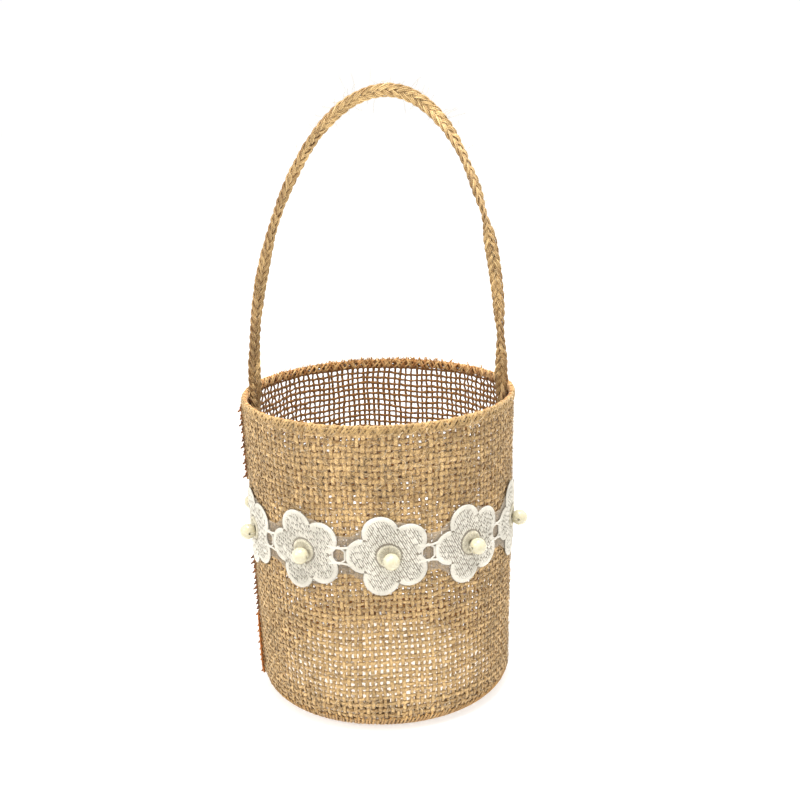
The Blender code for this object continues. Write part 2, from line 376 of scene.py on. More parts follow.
def fibre_material(name, dark, light, inner_painted_shade=None, pale_inner_painted_shade=None, reach=0.35, roughness=0.8, streak=0.68):
    """Spun fibre: tone by yarn, streaks that follow the twist, and painted shade on the faces that look
    inwards, if given.
    """
    made, tree, shader = principled(name)
    tone = node(tree, "ShaderNodeAttribute", attribute_name="tone")
    fibre = node(tree, "ShaderNodeAttribute", attribute_name="fibre")
    noise = node(tree, "ShaderNodeTexNoise", Scale=1.5, Detail=5.0, Roughness=0.72)
    tree.links.new(fibre.outputs["Vector"], noise.inputs["Vector"])
    coarse = object_noise(tree, Scale=90.0, Detail=3.0)
    middle = tuple((a + b) / 2 for a, b in zip(dark, light))
    streaks = ramp(tree, noise.outputs["Fac"], [(0.42, dark), (0.58, light), (0.5, middle)])
    by_yarn = ramp(tree, tone.outputs["Fac"], [(0.0, dark), (1.0, light)])
    colour = mix(tree, streak, by_yarn, streaks)
    patch = ramp(tree, coarse, [(0.3, (0.80, 0.78, 0.74)), (0.7, (1.08, 1.06, 1.03))])
    colour = mix(tree, 1.0, colour, patch, "MULTIPLY")
    # Painted shade: where the out attribute says a face looks inwards, the colour turns to the dark inner
    # colour instead of being shaded by the lamps.
    if inner_painted_shade:
        facing = node(tree, "ShaderNodeAttribute", attribute_name="out")
        side = ramp(tree, facing.outputs["Fac"], [(0.0, (1, 1, 1)), (reach, (0, 0, 0))])
        shaded = mix(tree, noise.outputs["Fac"], inner_painted_shade, tuple(1.8 * c for c in inner_painted_shade))
        # Painted shade, lighter on some yarns: by tone, the dark inner colour is mixed towards a paler one.
        if pale_inner_painted_shade:
            shaded = mix(tree, tone.outputs["Fac"], shaded, pale_inner_painted_shade)
        colour = mix(tree, side, colour, shaded)
    tree.links.new(colour, shader.inputs["Base Color"])
    set_inputs(shader, Roughness=roughness, Sheen_Weight=0.25, Sheen_Roughness=0.5, Specular_IOR_Level=0.3)
    add_bump(tree, shader, noise.outputs["Fac"], 0.8, 0.0003)
    return made


def pearl_material():
    """Cream nacre: a soft sheen under a clear coat, with faint clouds."""
    made, tree, shader = principled("pearl_nacre")
    clouds = object_noise(tree, Scale=260.0, Detail=3.0, Distortion=1.5)
    cream = ramp(tree, clouds, [(0.3, (0.53, 0.48, 0.32)), (0.7, (0.61, 0.565, 0.41))])
    tree.links.new(cream, shader.inputs["Base Color"])
    rough = ramp(tree, clouds, [(0.3, (0.20, 0.20, 0.20)), (0.7, (0.30, 0.30, 0.30))])
    tree.links.new(rough, shader.inputs["Roughness"])
    set_inputs(shader, Subsurface_Weight=0.25, Subsurface_Radius=(0.002, 0.0018, 0.001))
    set_inputs(shader, Coat_Weight=0.5, Coat_Roughness=0.08)
    return made


def card_material():
    """White card with a faint fibre grain."""
    made, tree, shader = principled("white_card")
    grain = object_noise(tree, Scale=700.0, Detail=4.0)
    white = ramp(tree, grain, [(0.3, (0.84, 0.75, 0.63)), (0.7, (0.90, 0.81, 0.69))])
    tree.links.new(white, shader.inputs["Base Color"])
    set_inputs(shader, Roughness=0.7)
    add_bump(tree, shader, grain, 0.2, 0.0001)
    return made


# Painted shade: the side of each jute yarn that faces away from the outside, such as the inside of the
# wall, is painted a darker, more orange brown.
JUTE = fibre_material("jute_yarn", (0.22, 0.112, 0.028), (0.88, 0.62, 0.30), inner_painted_shade=(0.165, 0.070, 0.013))
# Painted shade: the narrow sides of each ply are painted almost black, as shade in the crevices between
# plies.
BRAID = fibre_material(
    "jute_braid",
    (0.23, 0.102, 0.020),
    (1.0, 0.725, 0.345),
    inner_painted_shade=(0.090, 0.032, 0.006),
    reach=0.75,
    roughness=0.65,
    streak=0.5,
)
FUZZ = fibre_material("jute_fibre", (0.22, 0.12, 0.04), (0.95, 0.76, 0.48), streak=0.2)
# Painted shade: the inner half of each rim stitch is painted dark orange brown, paler on some stitches by
# tone.
RIM_THREAD = fibre_material(
    "rim_thread",
    (0.27, 0.15, 0.045),
    (0.70, 0.48, 0.21),
    inner_painted_shade=(0.29, 0.105, 0.018),
    pale_inner_painted_shade=(0.70, 0.46, 0.19),
)
FRAY = fibre_material("rim_fray", (0.30, 0.12, 0.022), (0.72, 0.41, 0.12))
BASE_THREAD = fibre_material("base_thread", (0.34, 0.16, 0.04), (0.78, 0.50, 0.19))
SEAM_THREAD = fibre_material("seam_thread", (0.035, 0.016, 0.008), (0.62, 0.22, 0.04), streak=0.3)
LACE = fibre_material("lace_cotton", (0.68, 0.65, 0.575), (0.83, 0.80, 0.72), roughness=0.6, streak=0.3)
# The ground is dark partly because the net and jute show through it, and partly as painted shade in the
# gaps between the stitches and round the eyelet.
LACE_GROUND = fibre_material("lace_ground", (0.27, 0.24, 0.19), (0.40, 0.36, 0.30), streak=0.35)
NET_THREAD = fibre_material("net_thread", (0.56, 0.48, 0.38), (0.74, 0.66, 0.55), roughness=0.5)
EYELET = fibre_material("eyelet_cotton", (0.70, 0.65, 0.50), (0.97, 0.93, 0.79), roughness=0.6, streak=0.3)
WHITE_THREAD = fibre_material("sewing_thread", (0.62, 0.57, 0.44), (0.84, 0.79, 0.64), roughness=0.5)
PEARL = pearl_material()
CARD = card_material()


# ---------------------------------------------------------------- body of the basket


def cloth_drift(azimuth, s):
    """How the whole cloth is pulled about: a shift along and up it, shared by both sets of yarns."""
    along = 0.0006 * np.sin(3 * azimuth + 40 * s) + 0.0004 * np.sin(7 * azimuth - 65 * s + 1.0)
    up = 0.0007 * np.sin(4 * azimuth + 0.7) + 0.0005 * np.sin(9 * azimuth + 30 * s)
    fade = np.clip(s / 0.02, 0, 1) * np.clip((CLOTH_TOP - s) / 0.01, 0, 1)
    return azimuth + along * fade / BASE_RADIUS, s + up * fade


def yarn_looseness(azimuth, s):
    """From 0 to 1: how open the weave is low in front."""
    off = (np.mod(azimuth + math.pi, TAU) - math.pi - 0.12) / 0.42
    return np.exp(-(off**2) - ((s - 0.044) / 0.020) ** 2)


def yarn_half_width(azimuth, s):
    """The cloth is fuller in front and near the rim, and looser low in front."""
    full = (0.00074 + 0.00019 * np.cos(azimuth)) * (1 + 0.14 * s / CLOTH_TOP)
    return full * (1 - 0.11 * yarn_looseness(azimuth, s))


def wall_yarns():
    """Paths, widths and tones of the wall's warp and weft yarns, over the whole turn."""
    rows = int((CLOTH_TOP - FIRST_WEFT) / WEFT_PITCH)
    warps, wefts = [], []
    s = np.linspace(0, CLOTH_TOP, rows * PER_PITCH + 1)
    for j in range(WARPS):
        azimuth = -math.pi / 4 + (j + 0.5) * TAU / WARPS
        lift = CRIMP * np.cos(math.pi * ((s - FIRST_WEFT) / WEFT_PITCH + j))
        turn = azimuth + (rng.normal(0, 0.00018) + wander(s, 0.022, 0.00022)) / BASE_RADIUS
        width = yarn_half_width(azimuth, s) * rng.uniform(0.88, 1.12) * (1 + wander(s, 0.012, 0.11))
        warps.append((*cloth_drift(turn, s), lift, width, rng.uniform(0, 1)))
    azimuth = -math.pi / 4 + np.arange(WARPS * PER_PITCH + 1) / (WARPS * PER_PITCH) * TAU
    for i in range(rows + 1):
        lift = -CRIMP * np.cos(math.pi * ((azimuth + math.pi / 4) / TAU * WARPS - 0.5 + i))
        level = FIRST_WEFT + i * WEFT_PITCH + rng.normal(0, 0.00014) + ring_wander(azimuth, 26, 0.00022)
        width = yarn_half_width(azimuth, level) * rng.uniform(0.88, 1.12)
        width = width * (1 + ring_wander(azimuth, 60, 0.11))
        wefts.append((*cloth_drift(azimuth, level), lift, width, rng.uniform(0, 1)))
    return warps, wefts


def make_wall():
    """Four woven panels that meet edge to edge; the real cloth is one length."""
    warps, wefts = wall_yarns()
    quarter = WARPS // 4
    pieces = []
    for index, name in enumerate(("front", "right", "back", "left")):
        threads = Threads(lumps=0.10)
        for azimuth, s, lift, width, tone in warps[index * quarter : (index + 1) * quarter]:
            threads.add(*cloth_point(azimuth, s, lift), width, YARN_HALF_THICKNESS, tone)
        first, last = index * quarter * PER_PITCH, (index + 1) * quarter * PER_PITCH + 1
        for azimuth, s, lift, width, tone in wefts:
            part = slice(first, last)
            points, normal = cloth_point(azimuth[part], s[part], lift[part])
            threads.add(points, normal, width[part], YARN_HALF_THICKNESS, tone)
        pieces.append(threads.build(f"side_wall_{name}", JUTE))
    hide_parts("side_wall")
    for piece in pieces:
        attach(piece, "basket")


def make_allowance():
    """The turned-in lower edge of the cloth, a second layer inside the foot."""
    threads = Threads()
    depth = 0.0019
    s = np.linspace(0.0062, 0.0190, 20)
    for j in range(WARPS):
        azimuth = (j + 0.5) * TAU / WARPS + rng.normal(0, 0.004)
        lift = -depth + 0.0003 * np.cos(math.pi * (s / WEFT_PITCH + j))
        frayed = s[: len(s) - rng.integers(0, 5)]
        points, normal = cloth_point(azimuth, frayed, lift[: len(frayed)])
        threads.add(points, normal, 0.00075, 0.0003, rng.uniform(0, 1))
    azimuth = np.arange(WARPS * 4) / (WARPS * 4) * TAU
    for level in (0.0072, 0.0098, 0.0124, 0.0150):
        points, normal = cloth_point(azimuth, level + ring_wander(azimuth, 12, 0.0002), -depth)
        threads.add(points, normal, 0.0008, 0.0003, rng.uniform(0, 1), closed=True)
    piece = threads.build("wall_turned_edge", JUTE)
    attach(piece, "basket")


def make_base_disc():
    """The bottom: a round of the same plain weave."""
    threads = Threads()
    pitch, middle = 0.0029, DISC_TOP / 2
    half = int(DISC_RADIUS / pitch)
    for direction in (0, 1):
        for k in range(-half, half + 1):
            offset = k * pitch + rng.normal(0, 0.0001)
            reach = math.sqrt(max(DISC_RADIUS**2 - offset**2, 1e-6)) - 0.0004
            t = np.linspace(-reach, reach, max(8, int(reach / pitch * 6)))
            height = middle + 0.00033 * np.cos(math.pi * (t / pitch + k + direction))
            side = offset + wander(t, 0.02, 0.0001)
            points = np.stack([t, side, height] if direction == 0 else [side, t, height], -1)
            threads.add(points, (0.0, 0.0, 1.0), 0.00078, 0.0004, rng.uniform(0, 1))
    piece = threads.build("base_disc_weave", JUTE)
    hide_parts("base_disc")
    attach(piece, "basket")
    side = 2 * DISC_RADIUS


def squared(wave):
    """A wave with fuller crests, so that a loop drawn with it is nearly rectangular."""
    return np.sign(wave) * np.abs(wave) ** 0.72


def add_whipping(threads, turns, lean, half_width, sink):
    """One round of slanted stitches over the rim, toned by stitch and by group of stitches."""
    height, depth = (RIM_HIGH - RIM_LOW) / 2, CLOTH / 2 + RIM_PROUD
    stitch = rng.uniform(0, 1, turns + 1)
    t = np.arange(turns * 14) / 14
    phase = t * TAU
    uneven = 0.35 * ring_wander(t / turns * TAU, turns // 2, 1.0)
    tall = 1 + 0.16 * (stitch[(t + 0.25).astype(int)] - 0.5) + ring_wander(t / turns * TAU, 70, 0.05)
    out = squared(np.cos(phase)) * (depth - sink)
    up = squared(np.sin(phase)) * (height - 0.0001) * tall
    turn = (t + lean * np.sin(phase) + uneven) / turns * TAU
    normal = outward(turn) * np.cos(phase)[:, None]
    normal[:, 2] += np.sin(phase)
    points = around(turn, RIM_CENTRE + out, RIM_MIDDLE + up)
    group = 0.5 + 0.5 * np.sin(RIM_GROUPS * turn + 1.5 * np.sin(5 * turn))
    tone = 0.45 * np.roll(stitch, 1)[(t + 0.5).astype(int) % turns] + 0.55 * group
    width = half_width * (0.8 + 0.4 * tone)
    # out marks the inner half of each stitch, which the material paints in shade.
    threads.add(points, normal, width, 0.00030, tone, closed=True, out=2.2 * np.cos(phase))


def make_rim():
    """The whipped edge: a core of folded cloth, oversewn with uneven slanted stitches."""
    core = Threads(lumps=0.12)
    azimuth = np.arange(480) / 480 * TAU
    for up in (-0.0013, 0.0013):
        points = around(azimuth, RIM_CENTRE + ring_wander(azimuth, 9, 0.00008), RIM_MIDDLE + up)
        core.add(points, outward(azimuth), 0.00075, 0.00055, rng.uniform(0, 0.6), closed=True)
    core_piece = core.build("rim_core", JUTE)
    whip = Threads(sides=6, twist=900, lumps=0.12)
    add_whipping(whip, 194, 0.75, 0.00054, 0.00020)
    add_whipping(whip, 142, -0.55, 0.00042, 0.00005)
    piece = whip.build("rim_overlock_thread", RIM_THREAD)
    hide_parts("rim_overlock")
    for part, slot in ((core_piece, "jute"), (piece, "stitching")):
        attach(part, "basket")


def make_base_overlock():
    """Slanted stitches that join the foot of the wall to the bottom."""
    threads = Threads(sides=5, twist=900)
    stitches = 210
    for k in range(stitches):
        azimuth = (k + rng.uniform(-0.25, 0.25)) / stitches * TAU
        s = np.linspace(0.0004, 0.0088 + rng.uniform(-0.001, 0.001), 9)
        lean = 0.035 * (s / 0.009)
        lift = 0.00088 + 0.0002 * np.sin(s / 0.009 * math.pi)
        threads.add(*cloth_point(azimuth + lean, s, lift), 0.0005, 0.00026, rng.uniform(0, 1))
    turns = 230
    t = np.arange(turns * 10) / 10
    phase = t * TAU
    radius = CORD_RING + 0.0009 * np.cos(phase)
    points = around(t / turns * TAU, radius, 0.0012 + 0.0009 * np.sin(phase))
    normal = outward(t / turns * TAU) * np.cos(phase)[:, None]
    normal[:, 2] += np.sin(phase)
    threads.add(points, normal, 0.0006, 0.0003, 0.5, closed=True)
    piece = threads.build("base_overlock_thread", BASE_THREAD)
    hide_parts("base_overlock")
    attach(piece, "basket")


SEAM_BEND = 0.036


def seam_azimuth(z, aside):
    """The seam runs straight down, then drifts forward over its lowest part."""
    share = np.clip((SEAM_BEND - z) / (SEAM_BEND - 0.008), 0, 1)
    drift = 0.0065 * share**2 * (3 - 2 * share)
    return SEAM_AZIMUTH + (aside + drift) / BASE_RADIUS


def add_tooth(threads, z, size, tone):
    """A loop of thread pulled together into a tapered tooth that leans upwards."""
    t = np.linspace(0, 1, 7)
    level = z + 0.0016 * (1 - t)
    turn = seam_azimuth(level, 0.0008 - 0.0006 * t)
    thick = 0.00085 * (1 - 0.6 * t)
    points = around(turn, foot_radius(level) + 0.0006 + 0.0021 * size * t, level)
    threads.add(points, outward(turn), thick, thick, tone)


def add_wrap(threads, z, pitch, tone):
    """A slanted stitch over the allowance, from one side of it to the other."""
    t = np.linspace(-1, 1, 11)
    level = z + pitch * (0.5 + 0.4 * t)
    turn = seam_azimuth(level, 0.0019 * t)
    points = around(turn, foot_radius(level) + 0.0004 + 0.0012 * np.cos(t * math.pi / 2) ** 0.7, level)
    threads.add(points, outward(turn), 0.00038, 0.00028, tone)


def make_side_seam():
    """The folded seam allowance, oversewn with uneven stitches whose loops stand out as teeth."""
    allowance, edging = Threads(lumps=0.12), Threads(sides=6, twist=900)
    top = RIM_LOW - GAP
    for low, high, pitch in (
        (0.0065, LACE_HEIGHT - 0.018, 0.00275),
        (LACE_HEIGHT + 0.018, top, 0.0037),
    ):
        z = np.linspace(low, high, int((high - low) / 0.0007))
        for aside, depth in ((-0.0008, 0.0002), (0.0, 0.0009), (0.0008, 0.0002)):
            turn = seam_azimuth(z, aside + wander(z, 0.02, 0.0001))
            points = around(turn, foot_radius(z) + depth, z)
            allowance.add(points, outward(turn), 0.0007, 0.00045, rng.uniform(0, 0.6))
        for start in np.arange(low + 0.0006, high - 0.0034, pitch):
            jitter = rng.uniform(-0.0004, 0.0004)
            lower = start < SEAM_BEND
            tone = rng.uniform(0.35, 1) if lower else rng.uniform(0, 0.3)
            add_tooth(edging, start + jitter, rng.uniform(0.55, 1.2), tone)
            add_wrap(edging, start + jitter, pitch, rng.uniform(0.3, 1) if lower else rng.uniform(0, 0.5))
    for aside, shade in ((-0.0009, 0.6), (0.0002, 1.0), (0.0012, 0.8)):
        z = np.linspace(0.0066, SEAM_BEND, 40)
        turn = seam_azimuth(z, aside + wander(z, 0.01, 0.0003))
        edging.add(around(turn, foot_radius(z) + 0.0014, z), outward(turn), 0.0006, 0.0005, shade)
    under = np.linspace(LACE_HEIGHT - 0.019, LACE_HEIGHT + 0.019, 40)
    turn = seam_azimuth(under, 0 * under)
    allowance.add(around(turn, wall_radius(under) - 0.0003, under), outward(turn), 0.0009, 0.0004, 0.4)
    for part, name, slot, nodes in (
        (allowance, "side_seam_allowance", "jute", ("side_seam_lower", "side_seam_upper")),
        (edging, "side_seam_overlock", "seam_thread", ("side_seam_thread_lower", "side_seam_thread_upper")),
    ):
        piece = part.build(name, JUTE if slot == "jute" else SEAM_THREAD)
        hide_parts(*nodes)
        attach(piece, "basket")


# ---------------------------------------------------------------- handle


def handle_route(samples):
    """Centreline of the braid from the left tail to the right one, with its local directions."""
    foot = around(np.array(FOOT_AZIMUTH), TAIL_RADIUS, np.array(0.0))
    arch_t = np.linspace(0, math.pi, 400)
    rise = np.maximum(np.sin(arch_t), 0)
    arch_x = -foot[0] * np.cos(arch_t) + ARCH_LEAN * rise**1.5
    arch = np.stack([arch_x, 0 * arch_t + foot[1], PIVOT_HEIGHT + ARCH_HEIGHT * rise], -1)
    tail_z = np.linspace(TAIL_FOOT, PIVOT_HEIGHT, 40, endpoint=False)
    left = np.stack([0 * tail_z - foot[0], 0 * tail_z + foot[1], tail_z], -1)
    right = np.stack([0 * tail_z + foot[0], 0 * tail_z + foot[1], tail_z], -1)[::-1]
    line = np.concatenate([left, arch, right])
    step = np.concatenate([[0], np.cumsum(np.linalg.norm(np.diff(line, axis=0), axis=1))])
    s = np.linspace(0, step[-1], samples)
    points = np.stack([np.interp(s, step, line[:, k]) for k in range(3)], -1)
    tangent = unit(np.gradient(points, axis=0))
    side = unit(np.cross(tangent, (0.0, 1.0, 0.0)))
    return s, points, tangent, side


# Heights up each leg, and the turn there of the braid's broad face away from the front, in degrees
LEFT_HEIGHTS = (0.120, 0.140, 0.149, 0.156, 0.172, 0.190, 0.205, 0.228, 0.250, 0.270, 0.2865)
LEFT_TURNS = (82, 70, 8, 20, 58, 40, 35, 62, 50, 45, 12)
RIGHT_HEIGHTS = (0.120, 0.140, 0.149, 0.158, 0.171, 0.185, 0.205, 0.218, 0.228, 0.240, 0.255, 0.270, 0.2865)
RIGHT_TURNS = (82, 70, 10, 25, 76, 30, -5, -10, -88, -50, -64, -30, 12)


def braid_directions(s, points, tangent, side):
    """Across the braid's broad face and through it, as the braid twists along its legs."""
    left = np.interp(points[:, 2], LEFT_HEIGHTS, LEFT_TURNS)
    right = np.interp(points[:, 2], RIGHT_HEIGHTS, RIGHT_TURNS)
    turn = np.radians(np.where(s < s[-1] / 2, left, right))
    turn = np.convolve(np.pad(turn, 9, mode="edge"), np.ones(19) / 19, mode="valid")
    back = np.cross(tangent, side)
    across = side * np.cos(turn)[:, None] + back * np.sin(turn)[:, None]
    return across, np.cross(tangent, across)


def add_strand(threads, strand, s, points, across, through, fullness):
    """One strand of the braid: it weaves from edge to edge, and its plies lie side by side."""
    phase = s / BRAID_PITCH * TAU + strand * TAU / STRANDS + wander(s, 0.05, 0.06)
    wide = BRAID_WIDE * np.sin(phase) * fullness
    deep = BRAID_DEEP * np.sin(2 * phase)
    centre = points + across * wide[:, None] + through * deep[:, None]
    strand_tangent = unit(np.gradient(centre, axis=0))
    one = unit(np.cross(through, strand_tangent))
    two = np.cross(strand_tangent, one)
    tone = rng.uniform(0.25, 0.75)
    height = (points[:, 2] - PIVOT_HEIGHT) / ARCH_HEIGHT
    for ply in range(PLIES):
        lean = 0.5 * np.sin(s / 0.037 * TAU + strand) + wander(s, 0.03, 0.25)
        out = PLY_STEP * (ply - 1) + wander(s, 0.012, 0.00006)
        beside, above = out * np.cos(lean), 0.5 * out * np.sin(lean)
        ply_centre = centre + one * beside[:, None] + two * above[:, None]
        # Painted light: the 0.70 * (height - 0.55) term makes the top of the hoop paler and the legs
        # darker, as if lit from above; the rest is random tone.
        shade = tone + 0.70 * (height - 0.55) + wander(s, 0.011, 0.35) + rng.normal(0, 0.25)
        width = PLY_HALF_WIDTH * (1 + wander(s, 0.006, 0.10))
        threads.add(ply_centre, two, width, PLY_HALF_THICKNESS, np.clip(shade, 0, 1))


def add_handle_fibre(threads, points, tangent, side, across):
    """A loose fibre that springs off the braid, most of them towards the inside of the hoop."""
    k = rng.integers(60, HANDLE_SAMPLES - 60)
    length = rng.uniform(0.002, 0.006) if rng.uniform() < 0.85 else rng.uniform(0.006, 0.013)
    t = np.linspace(0, 1, 8)
    inward = -side[k] if rng.uniform() < 0.15 else side[k]
    start = unit(inward * rng.uniform(0.2, 1) + rng.normal(0, 0.55, 3))
    end = unit(start + rng.normal(0, 0.7, 3))
    path = points[k] + across[k] * rng.uniform(-0.003, 0.003)
    path = path + (start * t[:, None] + (end - start) * (t**2)[:, None] * 0.7) * length
    facing = unit(np.cross(start, tangent[k]) + 1e-3)
    threads.add(path, facing, 0.00005, 0.00005, rng.uniform(0.3, 1))


def make_handle():
    """The flat braid, from tail to tail, and its loose fibres."""
    s, points, tangent, side = handle_route(HANDLE_SAMPLES)
    across, through = braid_directions(s, points, tangent, side)
    # both_faces keeps the broad faces of each ply in full colour and paints shade on its narrow sides.
    threads = Threads(sides=8, twist=700, lumps=0.10, both_faces=True)
    fullness = 1 + wander(s, 0.06, 0.05)
    for strand in range(STRANDS):
        add_strand(threads, strand, s, points, across, through, fullness)
    piece = threads.build("handle_braid_strands", BRAID)
    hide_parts("handle_braid", "handle_tail_left", "handle_tail_right")
    fuzz = Threads(sides=3)
    for _ in range(HANDLE_FIBRES):
        add_handle_fibre(fuzz, points, tangent, side, across)
    hair = fuzz.build("handle_loose_fibres", FUZZ)
    for part in (piece, hair):
        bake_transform(part)


def make_tacks():
    """The bars of thread that hold the tails of the handle to the wall."""
    for name, sign in (("left", -1), ("right", 1)):
        threads = Threads(sides=6, twist=3000)
        azimuth = sign * FOOT_AZIMUTH
        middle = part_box(f"handle_tack_{name}")
        centre_z = (middle[0][2] + middle[1][2]) / 2
        for row in range(5):
            t = np.linspace(-1, 1, 15)
            depth = TAIL_RADIUS - 0.0024 + 0.0034 * np.abs(t) ** 4
            turn = azimuth + t * 0.0046 / TAIL_RADIUS
            z = centre_z + (row - 2) * 0.0006 + 0.0004 * t * (-1) ** row
            threads.add(around(turn, depth, z), outward(turn), 0.0003, 0.0003, rng.uniform(0, 1))
        piece = threads.build(f"handle_stitches_{name}", WHITE_THREAD)
        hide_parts(f"handle_tack_{name}")
        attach(piece, "basket")


# ---------------------------------------------------------------- lace


def petal_offset(angle):
    """Angle from the middle of the nearest petal."""
    pitch = TAU / PETALS
    return (angle - math.pi + pitch / 2) % pitch - pitch / 2


def petal_edge(angle):
    """Distance from a flower's middle to the edge of its nearest petal."""
    off = petal_offset(angle)
    return PETAL_REACH * np.cos(off) + np.sqrt(PETAL_RADIUS**2 - (PETAL_REACH * np.sin(off)) ** 2)


EYELET_IN, EYELET_OUT = 0.0031, 0.0054
BORDER = 0.0021
FILL_LEAN, FILL_PITCH, FILL_REACH = math.radians(118), 0.00092, 0.0190


def flower_ground(threads, azimuth):
    """The cloth of the petals under the stitches: rings of flat thread from the eyelet to the edge."""
    angle = np.arange(120) / 120 * TAU
    edge = petal_edge(angle) - 0.0004
    for share in np.linspace(0, 1, 16):
        reach = EYELET_IN + 0.0006 + (edge - EYELET_IN - 0.0006) * share
        points, normal = lace_point(azimuth, reach * np.cos(angle), reach * np.sin(angle), 0.0002)
        threads.add(points, normal, 0.00062, 0.00012, 0.4, closed=True)


def stretches(inside):
    """First index of each stretch where inside holds, and the first one after it."""
    edges = np.flatnonzero(np.diff(np.concatenate([[0], inside.astype(int), [0]])))
    return zip(edges[::2], edges[1::2])


def add_fill_stitch(threads, azimuth, x, y, low, high):
    """One stitch along part of a row: it rises off the cloth and dips back into it."""
    u, row = np.linspace(low, high - 0.5, 7), np.arange(len(x))
    dip = np.sin(np.linspace(0, math.pi, 7)) ** 0.6
    lift = 0.00012 + 0.00044 * dip
    points, normal = lace_point(azimuth, np.interp(u, row, x), np.interp(u, row, y), lift)
    full = rng.uniform(0.33, 0.50) * 1e-3
    threads.add(points, normal, full * (0.70 + 0.30 * dip), 0.00020, rng.uniform(0.3, 1))


def flower_fill(threads, azimuth):
    """Long parallel stitches, all leaning the same way, each row broken into dips."""
    d = np.array([math.cos(FILL_LEAN), math.sin(FILL_LEAN)])
    n = np.array([-d[1], d[0]])
    for offset in np.arange(-0.0185, 0.0186, FILL_PITCH):
        offset = offset + rng.normal(0, 0.00006)
        t = np.arange(-FILL_REACH, FILL_REACH, 0.00035)
        x, y = n[0] * offset + d[0] * t, n[1] * offset + d[1] * t
        reach, angle = np.hypot(x, y), np.arctan2(y, x)
        inside = (reach < petal_edge(angle) - BORDER + 0.0006) & (reach > EYELET_OUT + 0.0006)
        for first, last in stretches(inside):
            place = first - rng.uniform(0, 4)
            while place < last - 2:
                stop = place + rng.uniform(7, 13)
                low, high = max(place, first), min(stop, last)
                if high - low > 2:
                    add_fill_stitch(threads, azimuth, x, y, low, high)
                place = stop


def flower_border(threads, azimuth):
    """The smooth satin border: short stitches side by side across the edge."""
    fine = np.linspace(0, TAU, 1441)
    reach = petal_edge(fine)
    x, y = reach * np.cos(fine), reach * np.sin(fine)
    length = np.concatenate([[0], np.cumsum(np.hypot(np.diff(x), np.diff(y)))])
    count = int(length[-1] / 0.00040)
    spots = np.arange(count) / count * length[-1]
    px, py = np.interp(spots, length, x), np.interp(spots, length, y)
    angle = np.arctan2(py, px)
    petal = angle - petal_offset(angle)
    cx, cy = PETAL_REACH * np.cos(petal), PETAL_REACH * np.sin(petal)
    nx, ny = (px - cx) / PETAL_RADIUS, (py - cy) / PETAL_RADIUS
    for k in range(count):
        depth = np.linspace(0, BORDER * rng.uniform(0.92, 1.1), 7)
        arch = np.sin(np.linspace(0.15, math.pi - 0.1, 7)) ** 0.6
        jut = rng.uniform(-0.00008, 0.00012)
        ax, ay = px[k] + nx[k] * (jut - depth), py[k] + ny[k] * (jut - depth)
        points, normal = lace_point(azimuth, ax, ay, 0.00012 + 0.00056 * arch)
        threads.add(points, normal, 0.00024, 0.00014, rng.uniform(0.4, 1))


def make_eyelet(azimuth, number):
    """The oversewn ring round a flower's eye, with flat stitches inside it for the pearl to sit on."""
    threads = Threads(sides=5, twist=2500)
    turns = 46
    t = np.arange(turns * 12) / 12
    phase, angle = t * TAU, t / turns * TAU
    middle, half = EYELET_OUT - 0.0008, 0.0007
    reach = middle + half * np.cos(phase)
    lift = 0.00045 + 0.00048 * np.sin(phase)
    points, normal = lace_point(azimuth, reach * np.cos(angle), reach * np.sin(angle), lift)
    beyond = lace_point(azimuth, (reach + 0.001) * np.cos(angle), (reach + 0.001) * np.sin(angle), lift)[0]
    facing = unit(beyond - points) * np.cos(phase)[:, None] + normal * np.sin(phase)[:, None]
    tone = np.repeat(rng.uniform(0, 1, turns), 12)
    threads.add(points, facing, 0.00022, 0.00016, tone, closed=True)
    ring = np.arange(60) / 60 * TAU
    points, normal = lace_point(azimuth, middle * np.cos(ring), middle * np.sin(ring), 0.0005)
    threads.add(points, normal, half - 0.0002, 0.0003, 0.0, closed=True)
    for k in range(60):
        ray = (k + rng.uniform(-0.3, 0.3)) / 60 * TAU
        u = np.linspace(0.0011, EYELET_OUT - 0.0012, 7)
        rise = 0.00016 + 0.00030 * np.sin(np.linspace(0.2, 2.4, 7))
        points, normal = lace_point(azimuth, u * math.cos(ray), u * math.sin(ray), rise)
        threads.add(points, normal, np.clip(u * 0.045, 0.00008, 0.0002), 0.00014, rng.uniform(0.0, 1))
    piece = threads.build(f"lace_eyelet_{number:02d}", EYELET)
    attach(piece, "basket")


def make_flower(number, azimuth):
    """An embroidered daisy: ground, leaning fill stitches and a satin border."""
    threads = Threads(sides=5, twist=2500)
    flower_fill(threads, azimuth)
    flower_border(threads, azimuth)
    piece = threads.build(f"lace_daisy_{number:02d}", LACE)
    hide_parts(f"lace_flower_{number:02d}")
    ground = Threads(sides=4)
    flower_ground(ground, azimuth)
    ground_piece = ground.build(f"lace_daisy_ground_{number:02d}", LACE_GROUND)
    for part in (piece, ground_piece):
        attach(part, "basket")


